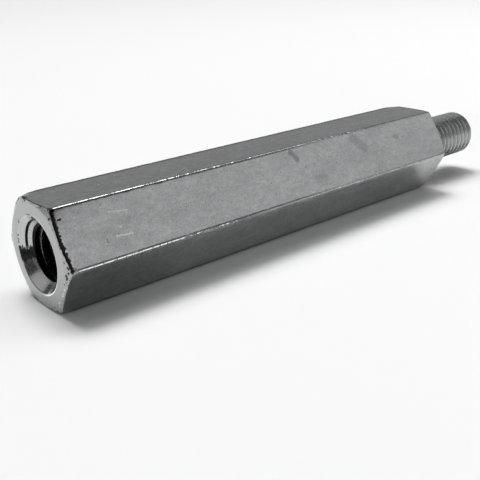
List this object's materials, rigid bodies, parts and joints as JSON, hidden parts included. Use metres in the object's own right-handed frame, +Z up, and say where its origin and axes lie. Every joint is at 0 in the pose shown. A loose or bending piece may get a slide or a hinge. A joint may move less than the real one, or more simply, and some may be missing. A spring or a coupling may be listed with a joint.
{
  "type": "threaded standoff",
  "caption": "Hexagonal metal standoff with a countersunk threaded bore at one end and a threaded stud at the other, for holding parts a fixed distance apart.",
  "frame": {"origin": "centre of the female end face, on the axis of the bore and the stud", "axes": "+X along the axis towards the tip of the stud, +Z up, square to the flat that the standoff lies on"},
  "size_m": [0.111, 0.0196, 0.017],
  "materials": {
    "bright_steel": "plated drawn steel, bright on its turned ends and edges"
  },
  "bodies": {
    "root": {"standoff": "bright_steel"}
  },
  "joints": []
}
